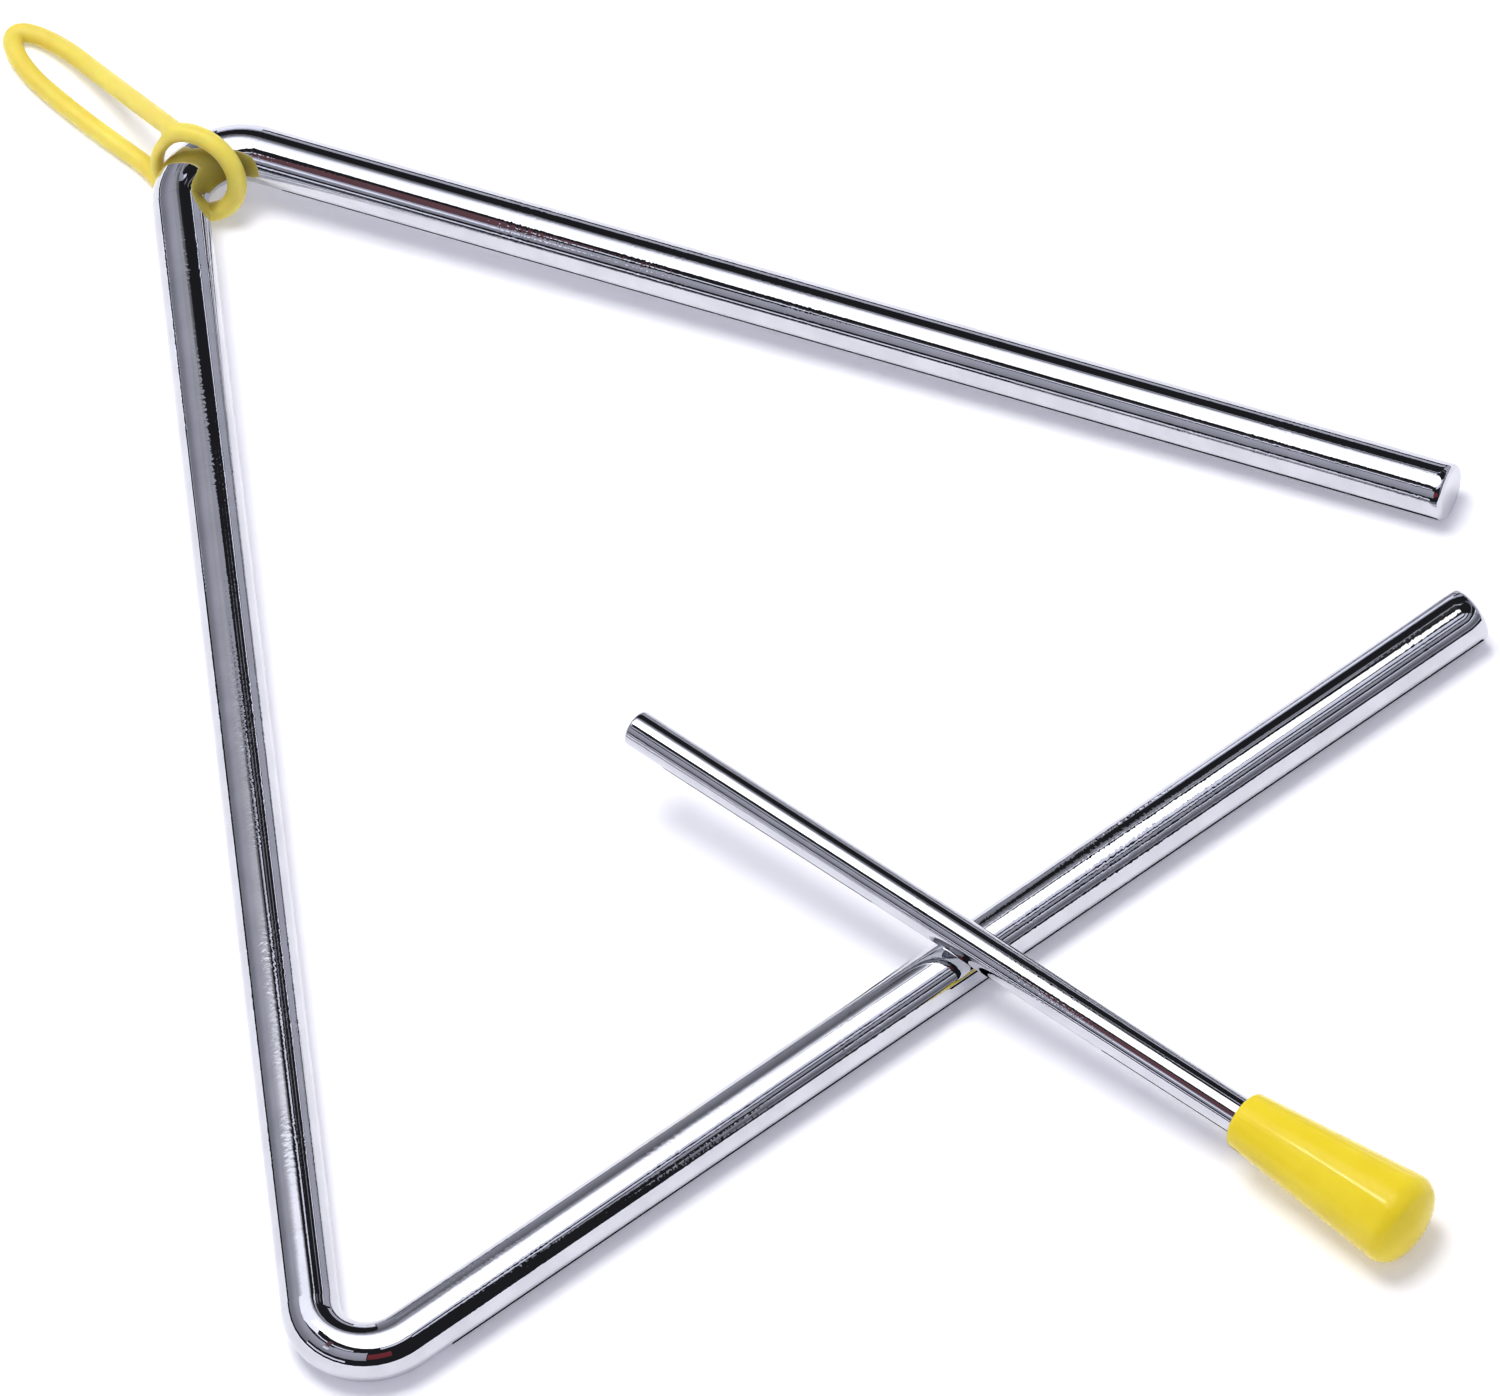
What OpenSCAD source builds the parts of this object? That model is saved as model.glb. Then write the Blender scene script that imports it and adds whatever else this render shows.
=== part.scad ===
// Triangle instrument: a bent rod with one open corner, a soft moulded hanger
// round one of its bends, and a beater laid across one leg.
// Millimetres, +Z up. Everything lies on a flat surface at z = 0, the base leg
// lies along X, and the corner that carries the hanger points along +Y.

/* [Triangle rod] */
// Diameter of the round rod
rod_d = 6.4; // [5.6:0.1:7.6]
// Length of a full side, between the points where the centre lines would cross
side_l = 170.8; // [155:0.2:200]
// Width of the open corner, between the middles of the two cut ends
mouth_w = 16.2; // [12:0.2:30]
// Radius of the two bends, to the middle of the rod
bend_r = 6.4; // [6:0.2:9]
// Rounding of the rod's cut ends
rod_edge = 0.5; // [0.2:0.1:1]

/* [Hanger] */
// Thickness of the hanger's round strand
strand_d = 2.2; // [1.8:0.1:2.6]
// Room between the rod and the ring, when the ring sits square to the rod
ring_slack = 1; // [1:0.05:2]
// Length of the loop, from the middle of the ring to the middle of its far strand
loop_l = 33.6; // [28:0.2:45]
// Width of the loop, between the middles of its two strands
loop_w = 5.1; // [4:0.1:8]
// Length of the loop's long rounded far end
loop_tip_l = 8.6; // [4:0.2:12]
// Distance from the ring's middle at which the lower strand has drawn in to the loop's width
loop_taper_l = 9.4; // [7:0.2:12]

/* [Beater] */
// Diameter of the beater's rod
beater_d = 4.2; // [3.6:0.1:5]
// Whole length of the beater's rod, with the end that is inside the grip
beater_l = 101.6; // [85:0.2:125]
// Rounding of the beater's tip
beater_edge = 0.3; // [0.1:0.1:0.8]
// Depth of the grip's blind socket
socket_l = 18; // [12:0.5:20]
// Room round the rod in the socket
socket_gap = 0.05; // [0.02:0.01:0.1]

/* [Beater grip] */
// Length of the grip along its axis
grip_l = 23.6; // [22:0.2:30]
// Diameter of the end where the rod enters
grip_small_d = 6.5; // [6:0.1:8]
// Diameter of the fat end
grip_large_d = 10.5; // [9:0.1:13]
// Rounding of the rim where the rod enters
small_edge = 0.6; // [0.2:0.1:0.8]
// Rounding of the fat end's rim
large_edge = 1.3; // [0.5:0.1:2]
// Height of the fat end's shallow dome
dome_h = 0.9; // [0.4:0.1:1.5]

/* [How it lies] */
// Place along the base leg where the beater crosses it
cross_at = 84.8; // [60:0.2:110]
// Length of the beater's rod inside the triangle, past the base leg
reach_in = 44.2; // [30:0.2:50]
// Direction in which the beater's tip points, from the base leg
beater_heading = 104; // [80:1:110]
// Gap between the beater and the leg that it lies on
rest_gap = 0.35; // [0.3:0.05:0.5]

/* [Hidden] */

$fn = 64;
rod_r = rod_d / 2;
strand_r = strand_d / 2;
beater_r = beater_d / 2;

// An equal-sided triangle: its inner angle, and the turn of the rod at each bend
corner = 60;
bend_turn = 180 - corner;
half_corner = corner / 2;

// The bends take this much off each side, up to where the rod is straight
bend_run = bend_r / tan(half_corner);
leg_l = side_l - mouth_w - bend_run;
closed_leg_l = side_l - 2 * bend_run;
// The rod swells a hair where it is bent, and its straight stretches end inside the bends
bend_swell = 0.01;
seam = 0.05;

// The hanger's ring passes under the rod, so that corner lies a little higher,
// and the whole rod leans about the base leg
lift_share = 0.44;
corner_lift = strand_d + lift_share * ring_slack;
apex = side_l * [cos(corner), sin(corner)];
bend_reach = apex.y - bend_r;
rod_lean = asin(corner_lift / bend_reach);

// The ring stands on the surface, leaning, a little way round the bend
ring_r = rod_r + strand_r + ring_slack;
ring_heading = 29.3;
ring_lean = 16.2;
ring_round = 15.2;
ring_inset_share = 0.04;
ring_inset = ring_inset_share * bend_r;
ring_flat_y = apex.y - 2 * bend_r + (bend_r - ring_inset) * cos(ring_round);
ring_mid = [
    apex.x - (bend_r - ring_inset) * sin(ring_round),
    ring_flat_y * cos(rod_lean),
    strand_r + ring_r * cos(ring_lean),
];
ring_out = [-sin(ring_heading), cos(ring_heading), 0];
ring_up = [
    sin(ring_lean) * cos(ring_heading),
    sin(ring_lean) * sin(ring_heading),
    cos(ring_lean),
];

// The loop twists from the ring's steep plane until it lies flat
root_angle = 66.8;
loop_heading = 93.8;
loop_along = [cos(loop_heading), sin(loop_heading), 0];
loop_across = [sin(loop_heading), -cos(loop_heading), 0];
twist_lead_share = 0.05;
strand_steps = 20;
tip_steps = 22;
strand_sides = 12;

// The beater rests on the base leg, and on the rim of its grip's fat end
beater_out_l = beater_l - socket_l;
rim_at = beater_out_l - reach_in + grip_l - dome_h - large_edge;
rim_r = grip_large_d / 2 - large_edge;
dome_r = (rim_r * rim_r + dome_h * dome_h) / (2 * dome_h);
cross_z = rod_d + beater_r + rest_gap;
beater_slope = asin((cross_z - large_edge) / norm([rim_at, rim_r])) - atan2(rim_r, rim_at);

// Middle of everything that lies on the surface, which is the origin
end_x = apex.x + (side_l - mouth_w) * cos(corner);
left_x = bend_run - bend_r - rod_r;
right_x = end_x - rod_edge * cos(corner) + (rod_r - rod_edge) * sin(corner) + rod_edge;
far_y = ring_mid.y + (loop_l - loop_tip_l) * sin(loop_heading) + strand_r
    + norm([loop_tip_l * sin(loop_heading), loop_w / 2 * cos(loop_heading)]);
dome_at = rim_at + large_edge + dome_h - dome_r;
near_y = -dome_at * sin(beater_heading) * cos(beater_slope) - dome_r;
middle = [(left_x + right_x) / 2, (near_y + far_y) / 2, 0];

// Smooth step from 0 to 1
function ease(t) = let (u = min(1, max(0, t))) u * u * (3 - 2 * u);

// Roll of the loop at a distance from the ring's middle
function loop_roll(s) =
    (90 - ring_lean) * (1 - ease((s / loop_l + twist_lead_share) / (1 + twist_lead_share)));

// A point of the loop, s along it and h across it, with the lower strand on the surface
function loop_point(s, h) =
    let (roll = loop_roll(s))
    [ring_mid.x, ring_mid.y, strand_r + loop_w / 2 * sin(roll)]
        + s * loop_along + h * cos(roll) * loop_across + [0, 0, h * sin(roll)];

// A smooth line from p to q that leaves p straight for q and ends along the direction d
function drawn_in(p, q, d, u) =
    let (v = 1 - u, reach = q - p)
    v * v * (1 + 2 * u) * p + u * u * (1 + 2 * v) * q
        + u * v * v * reach - u * u * v * norm(reach) * d;

// A strand from the ring to the point where it has drawn in to the loop's width
strand_end = loop_l - loop_tip_l;
probe_share = 0.01;
function strand_root(side, join_s) =
    let (
        half = side * loop_w / 2,
        root = ring_mid + ring_r * (cos(root_angle) * ring_out + side * sin(root_angle) * ring_up),
        join = loop_point(join_s, half),
        along = unit(loop_point(join_s + probe_share * loop_w, half) - join)
    )
    [for (i = [0:strand_steps]) drawn_in(root, join, along, i / strand_steps)];

// The loop's centre line: out along the upper strand, round the tip and back. The upper
// strand draws in over its whole length, and the lower one only near the ring.
tip_angles = [for (i = [1:tip_steps - 1]) 90 - 180 * i / tip_steps];
straight_l = strand_end - loop_taper_l;
lower_root = strand_root(-1, loop_taper_l);
loop_path = concat(
    strand_root(1, strand_end),
    [for (a = tip_angles) loop_point(strand_end + loop_tip_l * cos(a), loop_w / 2 * sin(a))],
    [for (i = [strand_steps:-1:1])
        loop_point(loop_taper_l + straight_l * i / strand_steps, -loop_w / 2)],
    [for (i = [strand_steps:-1:0]) lower_root[i]]
);

// A round tube along a path, closed by flat ends
function unit(v) = v / norm(v);
function tangent(path, i) =
    unit(path[min(i + 1, len(path) - 1)] - path[max(i - 1, 0)]);
function tube_ring(path, i, r, sides) =
    let (
        t = tangent(path, i),
        side = unit(cross(t, [0, 0, 1])),
        up = cross(side, t)
    )
    [for (k = [0:sides - 1])
        path[i] + r * (cos(360 * k / sides) * side + sin(360 * k / sides) * up)];

module tube(path, r, sides) {
    last = len(path) - 1;
    points = [for (i = [0:last]) each tube_ring(path, i, r, sides)];
    walls = [for (i = [0:last - 1], k = [0:sides - 1])
        let (a = i * sides + k, b = i * sides + (k + 1) % sides)
        each [[a, b, a + sides], [b, b + sides, a + sides]]];
    near_end = [[for (k = [0:sides - 1]) sides - 1 - k]];
    far_end = [[for (k = [0:sides - 1]) last * sides + k]];
    polyhedron(points, concat(walls, near_end, far_end));
}

// A straight rod along +X from x = 0, square-cut with a rounded rim at its far end
module cut_rod(r, l, edge) {
    rotate([0, 90, 0]) rotate_extrude() {
        square([r, l - edge]);
        square([r - edge, l]);
        translate([r - edge, l - edge]) intersection() {
            circle(edge);
            square(edge);
        }
    }
}

// A bend to the left that starts at the origin along +X, with what follows it at its end
module bend_then() {
    translate([0, bend_r, 0]) {
        rotate([0, 0, -90]) rotate_extrude(angle = bend_turn)
            translate([bend_r, 0]) circle(rod_r + bend_swell);
        rotate([0, 0, bend_turn]) translate([0, -bend_r, 0]) children();
    }
}

// An open leg that follows a bend, with its near end a little inside the bend
module open_leg() {
    translate([-seam, 0, 0]) cut_rod(rod_r, leg_l + seam, rod_edge);
}

// The rod as it is bent: the base leg runs along X from the closed corner, and the
// closed leg, the hanger's corner and the last leg follow the other way round
module flat_rod() {
    translate([bend_run, 0, 0]) {
        open_leg();
        mirror([1, 0, 0]) bend_then() {
            translate([-seam, 0, 0]) rotate([0, 90, 0])
                cylinder(r = rod_r, h = closed_leg_l + 2 * seam);
            translate([closed_leg_l, 0, 0]) bend_then() open_leg();
        }
    }
}

module triangle_rod() {
    color("silver") translate(-middle)
        translate([0, 0, rod_r]) rotate([rod_lean, 0, 0]) flat_rod();
}

module hanger() {
    color("gold") translate(-middle) union() {
        translate(ring_mid) rotate([0, 90 + ring_lean, ring_heading])
            rotate_extrude() translate([ring_r, 0]) circle(strand_r);
        tube(loop_path, strand_r, strand_sides);
    }
}

// Puts what is drawn along +X, with the crossing at the origin, where the beater lies
module beater_place() {
    translate(-middle) translate([cross_at, 0, cross_z])
        rotate([0, -beater_slope, beater_heading]) children();
}

module beater_rod() {
    color("silver") beater_place() translate([reach_in - beater_l, 0, 0])
        cut_rod(beater_r, beater_l, beater_edge);
}

// Half of the grip's section, with the rod's end at the bottom and the axis at x = 0
module grip_section() {
    small_r = grip_small_d / 2;
    large_r = grip_large_d / 2;
    rim_y = grip_l - dome_h - large_edge;
    low = [small_r - small_edge, small_edge];
    high = [rim_r, rim_y];
    gap = norm(high - low);
    // Direction square to the line that touches both rim circles
    flare = atan2(high.x - low.x, high.y - low.y) + asin((large_edge - small_edge) / gap);
    out = [cos(flare), -sin(flare)];
    polygon([
        [0, 0], [low.x, 0], low + small_edge * out, high + large_edge * out,
        [rim_r, rim_y + large_edge], [0, rim_y + large_edge],
    ]);
    translate(low) circle(small_edge);
    translate(high) circle(large_edge);
    intersection() {
        translate([0, grip_l - dome_r]) circle(dome_r, $fn = 180);
        translate([0, rim_y]) square([rim_r, grip_l]);
    }
}

module beater_grip() {
    color("gold") beater_place() translate([reach_in - beater_out_l, 0, 0])
        rotate([0, -90, 0]) difference() {
            rotate_extrude() grip_section();
            translate([0, 0, -socket_l]) cylinder(r = beater_r + socket_gap, h = 2 * socket_l);
        }
}

triangle_rod();
hanger();
beater_rod();
beater_grip();
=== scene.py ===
# %% [markdown]
# Triangle instrument, as looks round a fixed frame.
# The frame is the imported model: a bent rod, its hanger, and a beater of a rod and a grip.
# Every length is in metres, and a piece goes exactly where the frame says.

from math import asin, atan2, cos, pi, radians, sin, sqrt, tan

import bmesh
import bpy
from mathutils import Euler, Matrix, Vector, kdtree


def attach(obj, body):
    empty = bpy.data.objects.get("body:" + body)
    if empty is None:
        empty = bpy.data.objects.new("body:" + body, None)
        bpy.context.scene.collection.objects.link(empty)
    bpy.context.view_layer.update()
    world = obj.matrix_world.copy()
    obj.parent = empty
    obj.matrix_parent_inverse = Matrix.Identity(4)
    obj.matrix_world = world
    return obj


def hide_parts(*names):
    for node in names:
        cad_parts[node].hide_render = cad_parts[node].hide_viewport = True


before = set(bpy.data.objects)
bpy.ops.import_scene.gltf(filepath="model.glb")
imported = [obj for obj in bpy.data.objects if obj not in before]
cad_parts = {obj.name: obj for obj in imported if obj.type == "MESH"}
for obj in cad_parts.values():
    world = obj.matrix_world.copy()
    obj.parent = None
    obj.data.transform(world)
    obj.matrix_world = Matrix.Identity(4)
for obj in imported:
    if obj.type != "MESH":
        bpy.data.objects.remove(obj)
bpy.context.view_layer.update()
MM = 0.001

# %% [markdown]
# The camera. The photograph is a telephoto shot from a good way above the front left, turned a
# little about its own line of sight. The angles and the distance come from the perspective of the
# equal-sided triangle, and the long lens keeps the two open legs almost parallel-sided.

# %% Camera
VIEW_AIM = Vector((6.3, -11.9, 0)) * MM
VIEW_DISTANCE = 1.7405
VIEW_AZIMUTH = radians(-117.1)
VIEW_HEIGHT = radians(53.39)
VIEW_ROLL = radians(11.62)
LENS_MM = 384
SENSOR_MM = 36
FARTHEST_SEEN = 20

camera_data = bpy.data.cameras.new("camera")
camera_data.lens = LENS_MM
camera_data.sensor_width = SENSOR_MM
camera_data.clip_end = FARTHEST_SEEN
camera = bpy.data.objects.new("camera", camera_data)
bpy.context.scene.collection.objects.link(camera)
towards_camera = Vector((
    cos(VIEW_HEIGHT) * cos(VIEW_AZIMUTH),
    cos(VIEW_HEIGHT) * sin(VIEW_AZIMUTH),
    sin(VIEW_HEIGHT),
))
camera.location = VIEW_AIM + VIEW_DISTANCE * towards_camera
looking = towards_camera.to_track_quat("Z", "Y")
camera.rotation_euler = (looking @ Euler((0, 0, -VIEW_ROLL)).to_quaternion()).to_euler()
bpy.context.scene.camera = camera
print("camera at", [round(c, 4) for c in camera.location])

# %% [markdown]
# Materials come next, because the studio's cards need them too. A small helper adds a node, sets
# its values and returns it, so that a chain of nodes reads like the pattern it draws. The nodes
# that every finish here needs get a helper each: a cloudy noise, a change of range, a colour ramp
# and a bump.

# %% Material helpers
def material(name):
    """A new material, its node tree and its Principled shader."""
    made = bpy.data.materials.new(name)
    made.use_nodes = True
    return made, made.node_tree, made.node_tree.nodes["Principled BSDF"]


def bare_material(name):
    """A new material and its empty node tree, for a plain glow."""
    made = bpy.data.materials.new(name)
    made.use_nodes = True
    made.node_tree.nodes.clear()
    return made, made.node_tree


def node(tree, kind, inputs=None, **settings):
    """Adds a node. An input is a plain value, or an output of another node to link."""
    made = tree.nodes.new(kind)
    for key, value in settings.items():
        setattr(made, key, value)
    for key, value in (inputs or {}).items():
        if isinstance(value, bpy.types.NodeSocket):
            tree.links.new(value, made.inputs[key])
        else:
            made.inputs[key].default_value = value
    return made


# %% Pattern helpers
def object_place(tree):
    """Each point's place on the object."""
    return node(tree, "ShaderNodeTexCoord").outputs["Object"]


def maths(tree, operation, *values):
    """One Math node, from plain numbers and other nodes' outputs."""
    return node(tree, "ShaderNodeMath", dict(enumerate(values)), operation=operation).outputs[0]


def vector_maths(tree, operation, output, *values):
    """One Vector Math node. Its answer is the output named Vector or Value."""
    made = node(tree, "ShaderNodeVectorMath", dict(enumerate(values)), operation=operation)
    return made.outputs[output]


def noise(tree, place, scale, detail):
    """A cloudy pattern. The scale is in clouds to the metre."""
    inputs = {"Vector": place, "Scale": scale, "Detail": detail}
    return node(tree, "ShaderNodeTexNoise", inputs).outputs["Fac"]


def rescaled(tree, value, from_low, from_high, to_low=0.0, to_high=1.0, **settings):
    """Carries one range of a value over to another, and holds it at both ends."""
    return node(tree, "ShaderNodeMapRange", {
        "Value": value, "From Min": from_low, "From Max": from_high,
        "To Min": to_low, "To Max": to_high,
    }, **settings).outputs["Result"]


def ramp(tree, factor, *stops):
    """A colour ramp from (position, colour) pairs."""
    made = node(tree, "ShaderNodeValToRGB", {"Fac": factor})
    elements = made.color_ramp.elements
    while len(elements) < len(stops):
        elements.new(0.5)
    for element, (at, colour) in zip(elements, stops):
        element.position = at
        element.color = (*colour, 1)
    return made.outputs["Color"]


def bumped(tree, height, distance, over=None):
    """Tips the surface by a height pattern, on top of another bump if one is given."""
    inputs = {"Height": height, "Distance": distance}
    if over is not None:
        inputs["Normal"] = over
    return node(tree, "ShaderNodeBump", inputs).outputs["Normal"]


# %% [markdown]
# The studio. Chrome has hardly a colour of its own: it shows the room. The room here is an oval
# white light overhead, a paper floor, and upright cards all round. Each card is one band of the
# reflections seen along the rods: pale lavender walls, dark gaps between them, and the thin bright
# edges of the light tent. A card is a vertical edge spun part of the way round the object, and only
# mirror rays see it, so it never stands in front of the object or lights it.

# %% Card helpers
CARD_DISTANCE = 0.6
CARD_STEPS = 24
LAVENDER = Vector((0.93, 0.94, 1.1))
MAROON = Vector((1.7, 0.8, 0.95))
CLOTH_RED = Vector((1.9, 0.34, 0.42))
PALE_PINK = Vector((1.15, 0.95, 1.0))


def piece_from(bm, name, look):
    """Turns a bmesh into an object with its material."""
    mesh = bpy.data.meshes.new(name)
    bm.to_mesh(mesh)
    bm.free()
    mesh.materials.append(look)
    made = bpy.data.objects.new(name, mesh)
    bpy.context.scene.collection.objects.link(made)
    return made


def for_mirrors_only(thing):
    """Hides a thing from every ray but the mirrored ones."""
    thing.visible_camera = False
    thing.visible_diffuse = False
    thing.visible_transmission = False
    thing.visible_volume_scatter = False
    thing.visible_shadow = False


def card_height(degrees):
    """How high a card reaches at an angle over the horizon."""
    return CARD_DISTANCE * tan(radians(degrees))


def card_glow(name, tint, low, high, stops):
    """A glow that changes with height. Stops are (degrees above the horizon, brightness)."""
    made, tree = bare_material(name)
    height = node(tree, "ShaderNodeSeparateXYZ", {"Vector": object_place(tree)}).outputs["Z"]
    colour = ramp(tree, rescaled(tree, height, low, high), *[
        ((card_height(degrees) - low) / (high - low), tint * bright) for degrees, bright in stops
    ])
    glow = node(tree, "ShaderNodeEmission", {"Color": colour})
    node(tree, "ShaderNodeOutputMaterial", {"Surface": glow.outputs["Emission"]})
    return made


def card(name, from_deg, to_deg, stops, tint=LAVENDER, distance=CARD_DISTANCE, lean=0):
    """An upright band round the object, between two directions and the stops' heights.

    The lean, in degrees, carries the band's top sideways round the object.
    """
    low, high = card_height(stops[0][0]), card_height(stops[-1][0])
    bm = bmesh.new()
    direction = radians(from_deg)
    foot = Vector((distance * cos(direction), distance * sin(direction), low))
    head = Matrix.Rotation(radians(lean), 3, "Z") @ foot + Vector((0, 0, high - low))
    ends = [bm.verts.new(foot), bm.verts.new(head)]
    upright = bm.edges.new(ends)
    bmesh.ops.spin(
        bm, geom=[*ends, upright], cent=(0, 0, 0), axis=(0, 0, 1),
        angle=radians(to_deg - from_deg), steps=CARD_STEPS, use_merge=False,
    )
    made = piece_from(bm, name, card_glow(name, tint, low, high, stops))
    for_mirrors_only(made)
    return made


# %% Cards on the far side
cards = [
    card("left_wall", 80, 184, [(7.5, 0.29), (20, 0.335), (27, 0.43), (34, 0.52), (44, 0.57)]),
    card("left_wall_near", 184, 224, [(20, 0.36), (27, 0.44), (34, 0.52), (47, 0.6)]),
    card("left_curtain", 176, 182, [(38, 0.1), (57, 0.11)], MAROON, 0.58, lean=-11),
    card("left_glint", 178, 184, [(27.5, 1.3), (33, 1.3)], distance=0.57),
    card("left_baseboard", 165, 205, [(7, 1.2), (11.5, 1.2)], distance=0.59),
    card("left_skirting", 165, 205, [(12, 0.02), (18.5, 0.02)], distance=0.59),
    card("back_wall", 69.5, 80, [(9.5, 0.42), (20, 0.33), (43, 0.2)]),
    card("back_baseboard", 55, 69, [(1, 1.4), (12, 1.3), (16, 0.5), (20, 0.35)]),
    card("back_panel", 25, 55, [(8.5, 0.6), (20, 0.65)]),
    card("back_skirting", 69.5, 115, [(6, 0.85), (8.8, 0.85)]),
    card("tent_edge_left", 150, 205, [(49.5, 1.2), (52.5, 1.2)]),
    card("tent_edge_back", 38, 74, [(52, 0.5), (54.8, 0.5)]),
    card("tent_edge_right", 25, 38, [(52, 1.1), (54.8, 1.1)]),
    card("tent_fold", 20, 31, [(46, 0.22), (49, 0.22)]),
    card("tent_seam", 178, 205, [(53.5, 0.07), (56.5, 0.07)], PALE_PINK),
]
print("far cards:", len(cards))

# %% [markdown]
# On the near side the base leg shows a row of bright slats in its right half, and black in its left
# half with one bright edge high up. A small patch of red cloth shows only in the bend and at the
# open leg's end.

# %% Cards on the near side
# Each slat is its lower and upper edge in degrees above the horizon, and its brightness.
SLATS = [(26, 30, 1.05), (36, 44, 0.5), (47.5, 53, 1.1), (57.5, 66, 1.25)]
SLAT_FOOT = 0.8
for low, high, bright in SLATS:
    glow = [(low, bright * SLAT_FOOT), (high, bright)]
    cards.append(card(f"slat_{low:.0f}", -77, -36, glow))
cards += [
    card("front_low", -79.5, -36, [
        (7, 0.3), (9, 0.45), (12, 0.2), (16, 0.18), (20, 0.3), (25, 0.5),
    ]),
    card("front_edge", -120, -78, [(54.5, 1.05), (60.5, 1.15)]),
    card("right_wall", -35, 22, [(3.5, 0.55), (26, 0.57)]),
    card("right_edge", -35, 22, [(27.5, 1.3), (30, 1.3)]),
    card("right_rail", -35, 22, [(38.3, 0.3), (40.5, 0.3)]),
    card("red_cloth", -135, -110, [(23, 0.11), (40, 0.14)], CLOTH_RED),
]
print("all cards:", len(cards))

# %% [markdown]
# The light. The plastic and the floor are lit by a small soft disc almost overhead, which makes the
# narrow shadow under the beater, with a pale fill from all round. Mirrors don't see the disc: the
# rods show the roof in its place.

# %% Light
LIGHT_PLACE = Vector((0, 0.2, 0.98))
LIGHT_ACROSS = 0.62
LIGHT_WATTS = 8.3
LIGHT_WARMTH = (1, 0.985, 0.965)

light_data = bpy.data.lights.new("soft_light", "AREA")
light_data.shape = "DISK"
light_data.size = LIGHT_ACROSS
light_data.energy = LIGHT_WATTS
light_data.color = LIGHT_WARMTH
soft_light = bpy.data.objects.new("soft_light", light_data)
soft_light.location = LIGHT_PLACE
soft_light.rotation_euler = LIGHT_PLACE.to_track_quat("Z", "Y").to_euler()
soft_light.visible_glossy = False
bpy.context.scene.collection.objects.link(soft_light)
print("light at", [round(c, 3) for c in soft_light.location])

# %% [markdown]
# The roof. The rods' widest white band is the light overhead. It is an oval with a sharp edge on
# the near side, and past its far edge the cloth of the tent fades away slantwise, which is the soft
# lavender gradient along the closed leg. A lamp's narrow strip burns through the oval: it makes the
# long highlight on the grip. One dark seam of the tent crosses the oval's far right edge. These are
# flat sheets that glow, made in the same way as the cards.

# %% Sheet helpers
WHITE = (1, 1, 1)


def glow_sheet(name, bm, tint, bright):
    """A glowing sheet that only mirrors see.

    The brightness is a number, or a function that draws it as a pattern in the node tree.
    """
    look, tree = bare_material(name)
    strength = bright(tree) if callable(bright) else bright
    glow = node(tree, "ShaderNodeEmission", {"Color": (*tint, 1), "Strength": strength})
    node(tree, "ShaderNodeOutputMaterial", {"Surface": glow.outputs["Emission"]})
    sheet = piece_from(bm, name, look)
    for_mirrors_only(sheet)
    return sheet


def level_sheet(name, middle, size, tint, bright, turn=0.0):
    """A level oblong that glows, turned round the vertical."""
    bm = bmesh.new()
    bmesh.ops.create_grid(
        bm, x_segments=1, y_segments=1, size=0.5,
        matrix=Matrix.Translation(middle) @ Matrix.Rotation(turn, 4, "Z")
        @ Matrix.Diagonal((*size, 1, 1)),
    )
    return glow_sheet(name, bm, tint, bright)


# %% Roof
ROOF_MIDDLE = (-0.03, -0.01, 1.0)
ROOF_HALF_SIZES = (0.44, 0.52)
ROOF_GLOW = 2.2
LAMP_MIDDLE = (-0.26, 0.37, 0.996)
LAMP_SIZE = (0.045, 0.34)
LAMP_GLOW = 32.0

bm = bmesh.new()
bmesh.ops.create_circle(
    bm, cap_ends=True, segments=96, radius=1,
    matrix=Matrix.Translation(ROOF_MIDDLE) @ Matrix.Diagonal((*ROOF_HALF_SIZES, 1, 1)),
)
bmesh.ops.reverse_faces(bm, faces=bm.faces)
roof = glow_sheet("roof", bm, WHITE, ROOF_GLOW)
level_sheet("lamp_strip", LAMP_MIDDLE, LAMP_SIZE, WHITE, LAMP_GLOW)
print("roof:", [round(c, 2) for c in roof.dimensions])

# %% Roof cloth and seam
CLOTH_MIDDLE = (-0.12, 0.8, 1.002)
CLOTH_SIZE = (1.1, 0.8)
CLOTH_TINT = (0.96, 0.96, 1.06)
FALL_WAY, FALL_FROM, FALL_TO = (0.64, 1, 0), 0.6, 1.1
# The brightness along that way, from where the fall starts to where it ends.
FALL_GLOWS = [
    (0, 1.6), (0.18, 1.5), (0.23, 1.15), (0.29, 0.88), (0.34, 0.7), (0.5, 0.58), (0.7, 0.5),
]
DIM_WAY, DIM_FROM, DIM_TO, DIM_SHARE = (1, 0.12, 0), 0.36, 0.43, 0.4
SEAM_MIDDLE = (0.44, 0.5, 0.995)
SEAM_SIZE = (0.5, 0.04)
SEAM_TURN = radians(83)
SEAM_GLOW = 0.05


def cloth_glow(tree):
    """Falls off across the far left corner, and again past one line on the right."""
    place = object_place(tree)
    leftward = vector_maths(tree, "DOT_PRODUCT", "Value", place, FALL_WAY)
    rightward = vector_maths(tree, "DOT_PRODUCT", "Value", place, DIM_WAY)
    tone = ramp(
        tree, rescaled(tree, leftward, FALL_FROM, FALL_TO),
        *[(at, (glow, glow, glow)) for at, glow in FALL_GLOWS],
    )
    dim = rescaled(tree, rightward, DIM_FROM, DIM_TO, 1.0, DIM_SHARE)
    return maths(tree, "MULTIPLY", tone, dim)


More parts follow.
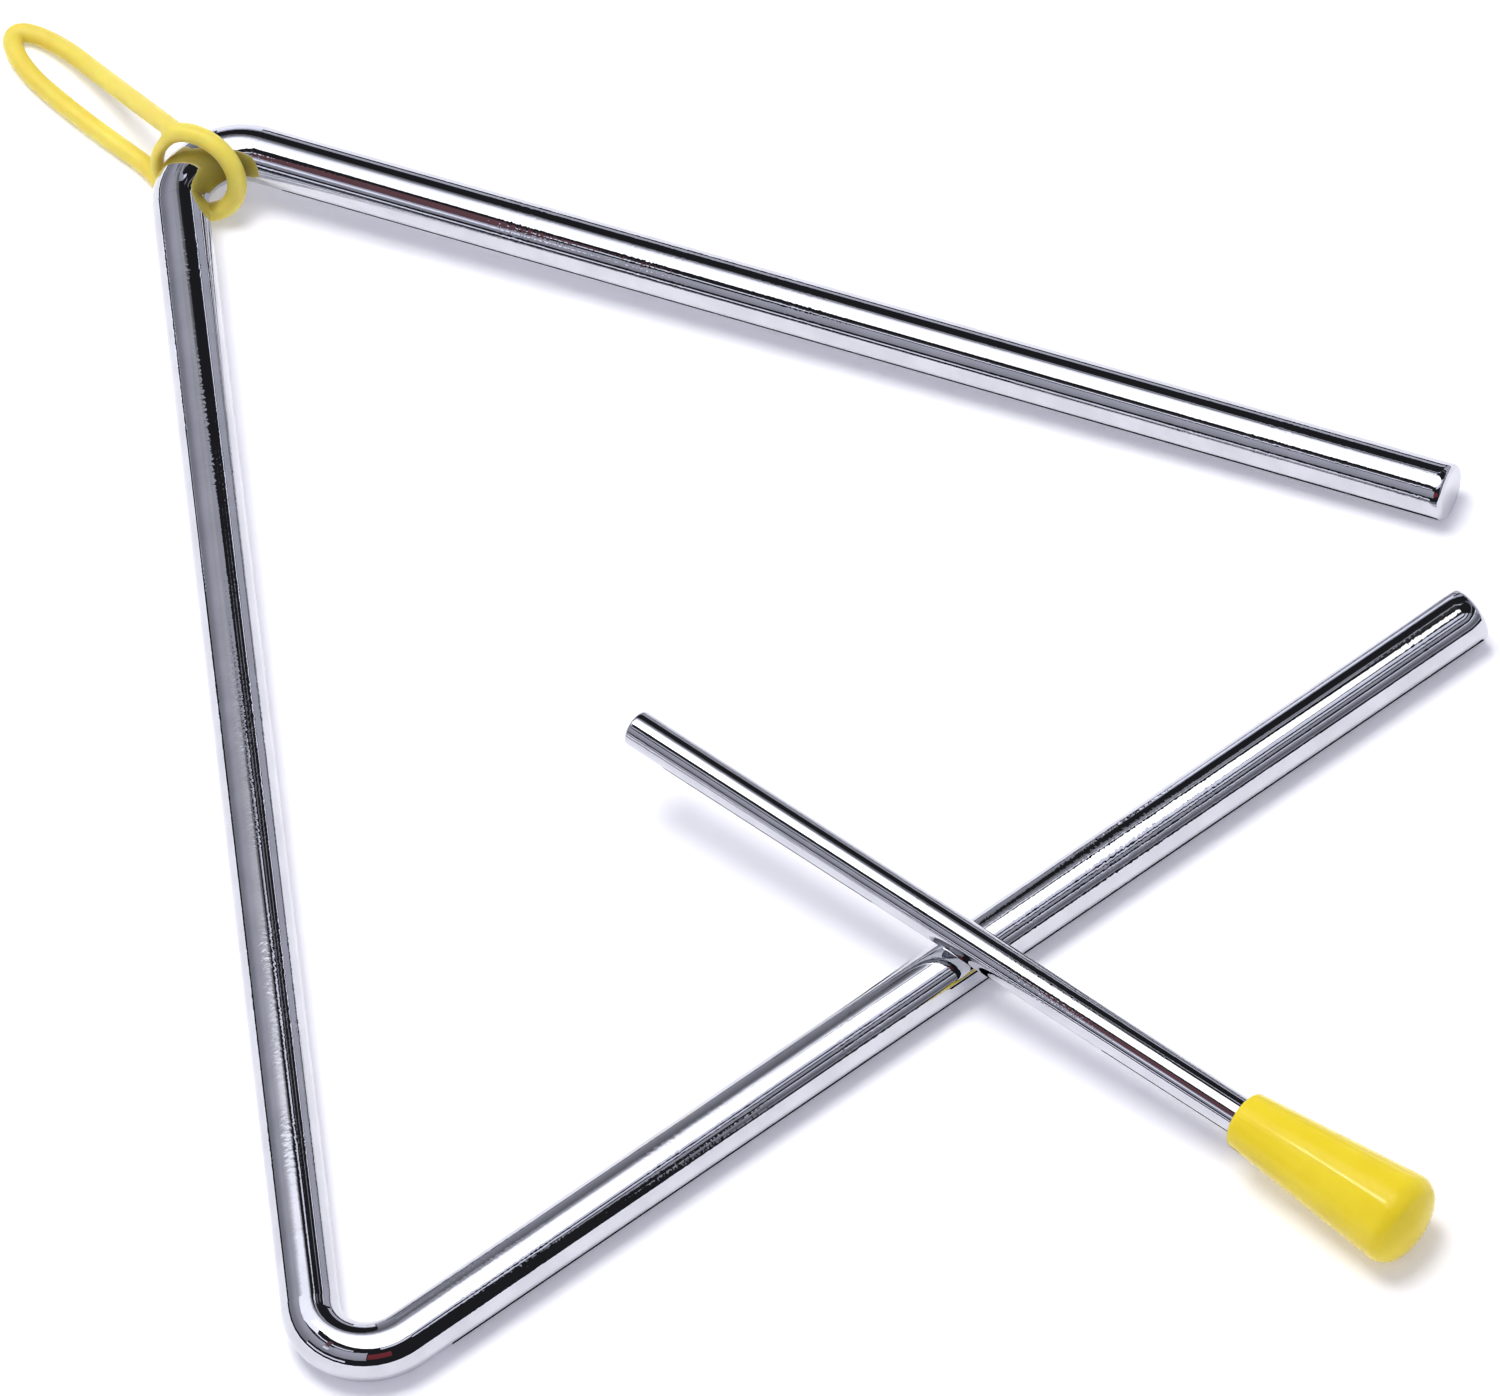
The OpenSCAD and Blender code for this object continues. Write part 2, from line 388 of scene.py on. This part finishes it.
cloth = level_sheet("roof_cloth", CLOTH_MIDDLE, CLOTH_SIZE, CLOTH_TINT, cloth_glow)
level_sheet("roof_seam", SEAM_MIDDLE, SEAM_SIZE, WHITE, SEAM_GLOW, SEAM_TURN)
print("roof cloth:", [round(c, 2) for c in cloth.dimensions])

# %% [markdown]
# Painted shade strips. Each rod keeps one crisp dark line along its lowest edge, where it mirrors
# the table right below itself, which lies in the rod's own contact shadow. Thin black sheets lie
# along the rods as painted shade for that mirrored shadow, and only mirrors see them. There are
# none near the crossing, where one rod would mirror the other's strip as a blot.

# %% Painted shade strips
SHADE_STRIP_LIFT = 0.05 * MM
# Each strip is its start and end on the table, and how far its two edges lie to the left, in mm.
SHADE_STRIPS = [
    ("painted_shade_open_leg", (9.0, 79.6), (79.0, -42.7), -3.3, -1.5),
    ("painted_shade_base_leg", (-68.0, -57.2), (71.2, -57.2), -3.3, -1.5),
    ("painted_shade_beater_tip", (-9.3, -14.4), (-2.0, -43.5), -3.0, 3.0),
    ("painted_shade_beater_grip", (5.8, -75.0), (10.7, -94.6), -3.0, 3.0),
]
# Each sheet glows with nothing, so it is black: painted shade for the contact shadow the rod
# mirrors.
for name, start, end, low, high in SHADE_STRIPS:
    start, end = [Vector((*point, 0)) * MM for point in (start, end)]
    along = end - start
    beside = Vector((-along.y, along.x, 0)).normalized() * (low + high) / 2 * MM
    middle = (start + end) / 2 + beside + Vector((0, 0, SHADE_STRIP_LIFT))
    size = (along.length, (high - low) * MM)
    level_sheet(name, middle, size, WHITE, 0.0, atan2(along.y, along.x))
print("strips:", len(SHADE_STRIPS))

# %% [markdown]
# The floor and the room. The floor is paper over a faintly lit table: it goes to pure white a few
# millimetres from the rods, so the shadows stay close and soft, and it glows more farther out,
# where nothing throws a shadow. A world shader can tell what looks at it by the kind of ray: the
# camera gets a pale backdrop, the mirrors a nearly black one between the cards, and all else a soft
# fill.

# %% Floor
FLOOR_HALF = 4
PAPER = (0.96, 0.96, 0.97, 1)
PAPER_GLOW = (0.85, 0.85, 1, 1)
GLOW_FROM, GLOW_TO = 0.17, 0.6
GLOW_NEAR, GLOW_FAR = 0.22, 1.25

bm = bmesh.new()
bmesh.ops.create_grid(bm, x_segments=1, y_segments=1, size=FLOOR_HALF)
floor_look, tree, shader = material("floor")
shader.inputs["Base Color"].default_value = PAPER
shader.inputs["Roughness"].default_value = 1
shader.inputs["Specular IOR Level"].default_value = 0
shader.inputs["Emission Color"].default_value = PAPER_GLOW
far_off = vector_maths(tree, "LENGTH", "Value", object_place(tree))
glow = rescaled(tree, far_off, GLOW_FROM, GLOW_TO, GLOW_NEAR, GLOW_FAR)
tree.links.new(glow, shader.inputs["Emission Strength"])
floor = piece_from(bm, "floor", floor_look)
print("floor:", [round(c, 2) for c in floor.dimensions])

# %% Room
SEEN_BY_MIRRORS = (0.02, 0.02, 0.023, 1)
SEEN_BY_CAMERA = (0.95, 0.95, 1, 1)
SOFT_FILL = (0.4, 0.4, 0.47, 1)

world = bpy.data.worlds.new("room")
bpy.context.scene.world = world
world.use_nodes = True
tree = world.node_tree
tree.nodes.clear()
path = node(tree, "ShaderNodeLightPath")
dark, pale, fill = [
    node(tree, "ShaderNodeBackground", {"Color": colour}).outputs["Background"]
    for colour in (SEEN_BY_MIRRORS, SEEN_BY_CAMERA, SOFT_FILL)
]
mirrored = node(tree, "ShaderNodeMixShader", {0: path.outputs["Is Glossy Ray"], 1: fill, 2: dark})
seen = node(tree, "ShaderNodeMixShader", {
    0: path.outputs["Is Camera Ray"], 1: mirrored.outputs[0], 2: pale,
})
node(tree, "ShaderNodeOutputWorld", {"Surface": seen.outputs[0]})
bpy.context.scene.view_settings.view_transform = "Standard"
print("room:", world.name)

# %% [markdown]
# The chrome. Plated rod is polished along its length before plating, so the mirror is not perfect:
# fine ripples in patches break up the edges of the reflections, slow swells make them wander, and a
# little haze softens them in places. The cut ends are rolled over by the polishing, the base leg's
# end the most. The rims themselves are real roundings of the frame, and the soft turn before them
# is drawn as a bump that tips the surface towards each end over its last half to two millimetres.

# %% Chrome helpers
CLOUD_SCALE = 260
CLOUD_TONES = [(0.35, (0.53, 0.54, 0.57)), (0.65, (0.59, 0.6, 0.63))]
CLEAR_ROUGHNESS, HAZY_ROUGHNESS = 0.004, 0.02
RIPPLE_SCALE, RIPPLE_HEIGHT = 2000, 0.014 * MM
PATCH_SCALE, PATCH_LEAST = 90, 0.15
SWELL_SCALE, SWELL_HEIGHT = 110, 0.02 * MM
ROLL_REACH = 6 * MM
ROLL_FALL = 0.2


def rolled_end(tree, place, end, out, width):
    """The height lost over the last width before a cut end, in metres."""
    away = vector_maths(tree, "SUBTRACT", "Vector", place, end)
    past = vector_maths(tree, "DOT_PRODUCT", "Value", away, out)
    far = vector_maths(tree, "LENGTH", "Value", away)
    inside = maths(tree, "MAXIMUM", maths(tree, "ADD", past, width), 0.0)
    inside = maths(tree, "MULTIPLY", inside, maths(tree, "LESS_THAN", far, ROLL_REACH))
    return maths(tree, "MULTIPLY", maths(tree, "POWER", inside, 2.0), -ROLL_FALL / width)


def chrome_look(name, ends):
    """Bright plate with ripples, swells, haze and rolled ends."""
    look, tree, shader = material(name)
    shader.inputs["Metallic"].default_value = 1
    place = object_place(tree)
    cloud = noise(tree, place, CLOUD_SCALE, 5)
    tree.links.new(ramp(tree, cloud, *CLOUD_TONES), shader.inputs["Base Color"])
    haze = rescaled(tree, cloud, 0.4, 0.7, CLEAR_ROUGHNESS, HAZY_ROUGHNESS)
    tree.links.new(haze, shader.inputs["Roughness"])
    ripple = noise(tree, place, RIPPLE_SCALE, 1)
    patch = rescaled(tree, noise(tree, place, PATCH_SCALE, 2), 0.45, 0.65, PATCH_LEAST, 1.0)
    skin = bumped(tree, maths(tree, "MULTIPLY", ripple, patch), RIPPLE_HEIGHT)
    skin = bumped(tree, noise(tree, place, SWELL_SCALE, 1), SWELL_HEIGHT, skin)
    for end, out, width in ends:
        skin = bumped(tree, rolled_end(tree, place, end, out, width), 1.0, skin)
    tree.links.new(skin, shader.inputs["Normal"])
    return look


# %% Chrome on the two rods
ALONG_BEATER = Vector((-0.2415, 0.9686, 0.0588)).normalized()
BEATER_CROSSING = Vector((1.413, -57.171, 8.85)) * MM
BEATER_REACH = 44.2 * MM
# Each cut end is its middle, the way it faces, and how much of the rod before it is rolled.
OPEN_LEG_END = (
    Vector((79.063, -42.711, 3.47)) * MM, Vector((0.5, -0.865875, -0.016156)), 0.9 * MM,
)
BASE_LEG_END = (Vector((71.213, -57.171, 3.2)) * MM, Vector((1, 0, 0)), 2 * MM)
BEATER_TIP = (BEATER_CROSSING + BEATER_REACH * ALONG_BEATER, ALONG_BEATER, 0.5 * MM)

for name, look in (
    ("triangle_rod", chrome_look("rod_plate", [OPEN_LEG_END, BASE_LEG_END])),
    ("beater_rod", chrome_look("beater_plate", [BEATER_TIP])),
):
    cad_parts[name].material_slots[0].material = look
    print(name, "dressed in", look.name)

# %% [markdown]
# The hanger is a single soft moulding: a ring round the rod, and two strands that leave it, twist
# down flat and meet in a long loop. It could be a curve with a round bevel, but the strands grow
# out of the ring with small fillets, and its inner bar is pressed flat where it faces the rod. So
# the ring is a circle spun round, the loop is a circle drawn along its route, and the two are fused
# afterwards.

# %% The hanger's places
RING_MIDDLE = Vector((0.4024, 83.851, 6.18956)) * MM
RING_OUT = Vector((-0.489382, 0.872069, 0)).normalized()
RING_UP = Vector((0.2433, 0.136533, 0.960294)).normalized()
RING_NORMAL = RING_OUT.cross(RING_UP).normalized()
RING_RADIUS = 5.3 * MM
STRAND_RADIUS = 1.12 * MM
STRAND_REST = 1.1 * MM
LOOP_LENGTH = 33.6 * MM
LOOP_WIDTH = 5.1 * MM
LOOP_TIP = 8.6 * MM
LOOP_TAPER = 9.4 * MM
LOOP_FIRST_ROLL = radians(73.8)
LOOP_ROLL_LEAD = 0.05
ROOT_ANGLE = radians(66.8)
LOOP_HEADING = radians(93.8)
LOOP_ALONG = Vector((cos(LOOP_HEADING), sin(LOOP_HEADING), 0))
LOOP_ACROSS = Vector((sin(LOOP_HEADING), -cos(LOOP_HEADING), 0))


def ease(t):
    """Goes from 0 to 1 with a soft start and a soft end."""
    u = min(1, max(0, t))
    return u * u * (3 - 2 * u)


def loop_side(s):
    """Direction across the loop at a distance s from the ring: steep at first, then flat."""
    laid = ease((s / LOOP_LENGTH + LOOP_ROLL_LEAD) / (1 + LOOP_ROLL_LEAD))
    roll = LOOP_FIRST_ROLL * (1 - laid)
    return cos(roll) * LOOP_ACROSS + sin(roll) * Vector((0, 0, 1))


def loop_point(s, h):
    """The place a distance s along the loop and h across it. The lower strand lies on the table."""
    side = loop_side(s)
    lift = STRAND_REST + LOOP_WIDTH / 2 * side.z
    return Vector((RING_MIDDLE.x, RING_MIDDLE.y, lift)) + s * LOOP_ALONG + h * side


print("loop check:", [round(c / MM, 2) for c in loop_point(21 * MM, LOOP_WIDTH / 2)])


# %% The loop's route
ROUTE_STEPS = 20
TIP_STEPS = 24
LITTLE_WAY = 0.05 * MM


def strand_root(side, join_s):
    """From the ring's centre line, drawn in to the loop's width, as a smooth cubic."""
    start = RING_MIDDLE + RING_RADIUS * (
        cos(ROOT_ANGLE) * RING_OUT + side * sin(ROOT_ANGLE) * RING_UP
    )
    join = loop_point(join_s, side * LOOP_WIDTH / 2)
    onward = (loop_point(join_s + LITTLE_WAY, side * LOOP_WIDTH / 2) - join).normalized()
    reach = join - start
    route = []
    for step in range(ROUTE_STEPS + 1):
        u = step / ROUTE_STEPS
        v = 1 - u
        route.append(
            v * v * (1 + 2 * u) * start + u * u * (1 + 2 * v) * join
            + u * v * v * reach - u * u * v * reach.length * onward
        )
    return route


strand_end = LOOP_LENGTH - LOOP_TIP
tip_turns = [pi / 2 - pi * step / TIP_STEPS for step in range(1, TIP_STEPS)]
loop_route = strand_root(1, strand_end)
loop_route += [
    loop_point(strand_end + LOOP_TIP * cos(a), LOOP_WIDTH / 2 * sin(a)) for a in tip_turns
]
loop_route += [
    loop_point(LOOP_TAPER + (strand_end - LOOP_TAPER) * step / ROUTE_STEPS, -LOOP_WIDTH / 2)
    for step in range(ROUTE_STEPS, 0, -1)
]
loop_route += strand_root(-1, LOOP_TAPER)[::-1]
print("loop route:", len(loop_route), "points")


# %% Draw the ring
RING_SIDES, RING_STEPS = 28, 120


def edges_at(verts):
    """The edges at some vertices, each once, in an order that is the same in every run."""
    return list(dict.fromkeys(edge for vert in verts for edge in vert.link_edges))


hanger_bm = bmesh.new()
section = Matrix((RING_OUT, RING_NORMAL, RING_OUT.cross(RING_NORMAL))).transposed().to_4x4()
first = bmesh.ops.create_circle(
    hanger_bm, segments=RING_SIDES, radius=STRAND_RADIUS,
    matrix=Matrix.Translation(RING_MIDDLE + RING_RADIUS * RING_OUT) @ section,
)["verts"]
bmesh.ops.spin(
    hanger_bm, geom=first + edges_at(first), cent=RING_MIDDLE, axis=RING_NORMAL,
    angle=2 * pi, steps=RING_STEPS, use_merge=True,
)
print("ring faces:", len(hanger_bm.faces))

# %% Press the ring's bar flat
BAR_RADIUS = 4.65 * MM
BAR_THINNER = 0.36
BAR_HALF, BAR_FADE = radians(32), radians(42)
for vert in hanger_bm.verts:
    arm = vert.co - RING_MIDDLE
    aside = arm.dot(RING_NORMAL)
    spoke = arm - aside * RING_NORMAL
    turned = abs(atan2(spoke.dot(RING_UP), spoke.dot(RING_OUT)))
    pressed = 1 - ease((turned - BAR_HALF) / BAR_FADE)
    middle_at = RING_RADIUS + pressed * (BAR_RADIUS - RING_RADIUS)
    length = middle_at + (spoke.length - RING_RADIUS) * (1 - BAR_THINNER * pressed)
    vert.co = RING_MIDDLE + aside * RING_NORMAL + length * spoke.normalized()
print("bar pressed to", BAR_RADIUS / MM, "mm from the ring's middle")


# %% Draw the loop
LOOP_SIDES = 24
WELD = 1e-7


def draw_along(bm, route, radius, sides):
    """Draws a circle along a route: each step extrudes the last rim and turns it."""
    legs = [(b - a).normalized() for a, b in zip(route, route[1:])]
    ways = [legs[0]] + [(a + b).normalized() for a, b in zip(legs, legs[1:])] + [legs[-1]]
    turn = ways[0].to_track_quat("Z", "X").to_matrix().to_4x4()
    rim = bmesh.ops.create_circle(
        bm, segments=sides, radius=radius, matrix=Matrix.Translation(route[0]) @ turn,
    )["verts"]
    edges = edges_at(rim)
    bmesh.ops.edgeloop_fill(bm, edges=edges)
    for here, there, way, next_way in zip(route, route[1:], ways, ways[1:]):
        grown = bmesh.ops.extrude_edge_only(bm, edges=edges)["geom"]
        rim = [item for item in grown if isinstance(item, bmesh.types.BMVert)]
        edges = [
            item for item in grown
            if isinstance(item, bmesh.types.BMEdge) and all(vert in rim for vert in item.verts)
        ]
        turn = way.rotation_difference(next_way).to_matrix().to_4x4()
        move = Matrix.Translation(there) @ turn @ Matrix.Translation(-here)
        bmesh.ops.transform(bm, matrix=move, verts=rim)
    bmesh.ops.edgeloop_fill(bm, edges=edges)


draw_along(hanger_bm, loop_route, STRAND_RADIUS, LOOP_SIDES)
bmesh.ops.remove_doubles(hanger_bm, verts=hanger_bm.verts, dist=WELD)
bmesh.ops.recalc_face_normals(hanger_bm, faces=hanger_bm.faces)
print("ring and loop:", len(hanger_bm.faces), "faces")

# %% [markdown]
# Fusing. A voxel remesh turns the crossing ring and strands into one skin, and a few rounds of
# smoothing leave small fillets where they meet, as in a mould. The mould's parting line runs round
# the middle of every strand. Each point keeps its height over that line, for the material to draw
# it.

# %% Fuse the hanger
FUSE_VOXEL = 0.17 * MM
FUSE_ROUNDS = 5
hanger_piece = piece_from(hanger_bm, "soft_hanger", bpy.data.materials.new("waiting"))
remesh = hanger_piece.modifiers.new("fuse", "REMESH")
remesh.mode = "VOXEL"
remesh.voxel_size = FUSE_VOXEL
evaluated = hanger_piece.evaluated_get(bpy.context.evaluated_depsgraph_get())
fused = bpy.data.meshes.new_from_object(evaluated)
hanger_piece.modifiers.clear()
bm = bmesh.new()
bm.from_mesh(fused)
for _ in range(FUSE_ROUNDS):
    bmesh.ops.smooth_vert(
        bm, verts=bm.verts, factor=0.5, use_axis_x=True, use_axis_y=True, use_axis_z=True,
    )
bmesh.ops.recalc_face_normals(bm, faces=bm.faces)
print("fused hanger:", len(bm.faces), "faces")

# %% Measure the parting line, hang the piece on its body
over_line = bm.verts.layers.float.new("over_line")
route_tree = kdtree.KDTree(len(loop_route))
for index, point in enumerate(loop_route):
    route_tree.insert(point, index)
route_tree.balance()
for vert in bm.verts:
    nearest, _, gap = route_tree.find(vert.co)
    arm = vert.co - RING_MIDDLE
    aside = arm.dot(RING_NORMAL)
    ring_gap = sqrt(((arm - aside * RING_NORMAL).length - RING_RADIUS) ** 2 + aside ** 2)
    if ring_gap < gap:
        vert[over_line] = aside / MM
    else:
        out = (nearest - RING_MIDDLE).dot(LOOP_ALONG)
        vert[over_line] = (vert.co - nearest).dot(LOOP_ALONG.cross(loop_side(out))) / MM
for face in bm.faces:
    face.smooth = True
bm.to_mesh(fused)
bm.free()
hanger_piece.data = fused
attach(hanger_piece, "hanger")
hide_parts("hanger")
print("hanger:", len(fused.polygons), "faces")

# %% [markdown]
# The grip is a rigid turned-looking moulding: a cone that flares to a fat end with one smooth dome.
# Half of its outline is a few points, and the dome is a point spun through its arc. Spinning the
# outline round the axis makes the solid with its blind socket, and a bevel rounds the three rims.

# %% The grip's outline
GRIP_LENGTH = 23.6 * MM
DOME_RADIUS = 9.12 * MM
DOME_STEPS = 4
SOCKET_RADIUS = 2.15 * MM
SOCKET_DEPTH = 18 * MM
small_rim = Vector((3.2, 0, 0)) * MM
fat_rim = Vector((5.3, 0, 21.9)) * MM
socket_rim = Vector((SOCKET_RADIUS, 0, 0))

grip_bm = bmesh.new()
line = [
    grip_bm.verts.new(point) for point in (
        Vector((0, 0, SOCKET_DEPTH)), Vector((SOCKET_RADIUS, 0, SOCKET_DEPTH)),
        socket_rim, small_rim, fat_rim,
    )
]
for pair in zip(line, line[1:]):
    grip_bm.edges.new(pair)
dome_middle = Vector((0, 0, GRIP_LENGTH - DOME_RADIUS))
bmesh.ops.spin(
    grip_bm, geom=[line[-1]], cent=dome_middle, axis=(0, -1, 0),
    angle=asin(fat_rim.x / DOME_RADIUS), steps=DOME_STEPS, use_merge=False,
)
top = max(grip_bm.verts, key=lambda vert: vert.co.z)
print("dome ends at", [round(c / MM, 3) for c in top.co])

# %% Spin the grip
GRIP_STEPS = 96
top.co = (0, 0, GRIP_LENGTH)
bmesh.ops.spin(
    grip_bm, geom=list(grip_bm.verts) + list(grip_bm.edges), cent=(0, 0, 0), axis=(0, 0, 1),
    angle=2 * pi, steps=GRIP_STEPS, use_merge=True,
)
bmesh.ops.remove_doubles(grip_bm, verts=grip_bm.verts, dist=WELD)
bmesh.ops.recalc_face_normals(grip_bm, faces=grip_bm.faces)
print("grip spun:", len(grip_bm.faces), "faces")

# %% Round its rims
ON_RIM = 1e-6
# Each rim is a point of the outline, the width of its rounding, and the rounding's steps.
RIMS = ((fat_rim, 1.35 * MM, 10), (small_rim, 0.6 * MM, 5), (socket_rim, 0.15 * MM, 2))


def rim_edges(bm, at):
    """The edges of the circle through one point of the outline."""
    return [
        edge for edge in bm.edges
        if all(
            abs(vert.co.z - at.z) < ON_RIM and abs(vert.co.xy.length - at.x) < ON_RIM
            for vert in edge.verts
        )
    ]


for at, width, segments in RIMS:
    bmesh.ops.bevel(
        grip_bm, geom=rim_edges(grip_bm, at), offset=width, offset_type="OFFSET",
        segments=segments, profile=0.5, affect="EDGES", material=-1,
    )
print("grip rounded:", len(grip_bm.faces), "faces")

# %% Push the grip on the beater
GRIP_FACE = 39.4 * MM
small_face = BEATER_CROSSING - GRIP_FACE * ALONG_BEATER
sideways = ALONG_BEATER.cross(Vector((0, 0, 1))).normalized()
grip_axes = Matrix(
    (sideways, -ALONG_BEATER.cross(sideways), -ALONG_BEATER)
).transposed().to_4x4()
bmesh.ops.transform(
    grip_bm, matrix=Matrix.Translation(small_face) @ grip_axes, verts=grip_bm.verts,
)
bmesh.ops.recalc_face_normals(grip_bm, faces=grip_bm.faces)
for face in grip_bm.faces:
    face.smooth = True
print("grip axes turn", round(grip_axes.determinant(), 3))

# %% [markdown]
# The two yellows. The grip is a glossy opaque plastic: its gloss is broken into grains by the
# mould's fine texture, and a little light soaks in at its rims. The hanger is softer and paler, and
# light goes well into its thin strands, which subsurface scattering gives. Both colours drift a
# little.

# %% Yellow helper
DRIFT_SCALE = 160
SOAK_COLOURS = (1, 0.7, 0.25)


def yellow_look(name, deep, light, roughness, soak, soak_depth, grain, grain_height):
    """A moulded yellow that drifts between two shades, and the normal of its fine grain."""
    look, tree, shader = material(name)
    place = object_place(tree)
    drift = noise(tree, place, DRIFT_SCALE, 3)
    tree.links.new(ramp(tree, drift, (0.35, deep), (0.65, light)), shader.inputs["Base Color"])
    shader.inputs["Roughness"].default_value = roughness
    shader.inputs["Subsurface Weight"].default_value = soak
    shader.inputs["Subsurface Radius"].default_value = SOAK_COLOURS
    shader.inputs["Subsurface Scale"].default_value = soak_depth
    skin = bumped(tree, noise(tree, place, grain, 2), grain_height)
    tree.links.new(skin, shader.inputs["Normal"])
    return look, tree, shader, skin


# %% The grip's yellow
GRIP_SHINE = 0.2
grip_look, _, shader, _ = yellow_look(
    "grip_yellow", deep=(0.8, 0.62, 0.026), light=(0.84, 0.67, 0.034), roughness=0.12,
    soak=0.2, soak_depth=0.9 * MM, grain=1500, grain_height=0.016 * MM,
)
shader.inputs["Specular IOR Level"].default_value = GRIP_SHINE
grip_piece = piece_from(grip_bm, "turned_grip", grip_look)
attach(grip_piece, "beater")
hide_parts("beater_grip")
print("grip:", len(grip_piece.data.polygons), "faces in", grip_look.name)

# %% The hanger's yellow and its parting line
LINE_EDGE, LINE_FOOT = 0.04, 0.16
LINE_HEIGHT = 0.025 * MM
hanger_look, tree, shader, skin = yellow_look(
    "hanger_yellow", deep=(0.75, 0.62, 0.085), light=(0.8, 0.7, 0.12), roughness=0.42,
    soak=0.85, soak_depth=1.6 * MM, grain=1800, grain_height=0.02 * MM,
)
over = node(tree, "ShaderNodeAttribute", attribute_name="over_line").outputs["Fac"]
ridge = rescaled(
    tree, maths(tree, "ABSOLUTE", over), LINE_EDGE, LINE_FOOT, 1.0, 0.0,
    interpolation_type="SMOOTHSTEP",
)
tree.links.new(bumped(tree, ridge, LINE_HEIGHT, skin), shader.inputs["Normal"])
hanger_piece.data.materials.clear()
hanger_piece.data.materials.append(hanger_look)
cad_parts["hanger"].material_slots[0].material = hanger_look
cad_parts["beater_grip"].material_slots[0].material = grip_look
print("hanger in", hanger_look.name)
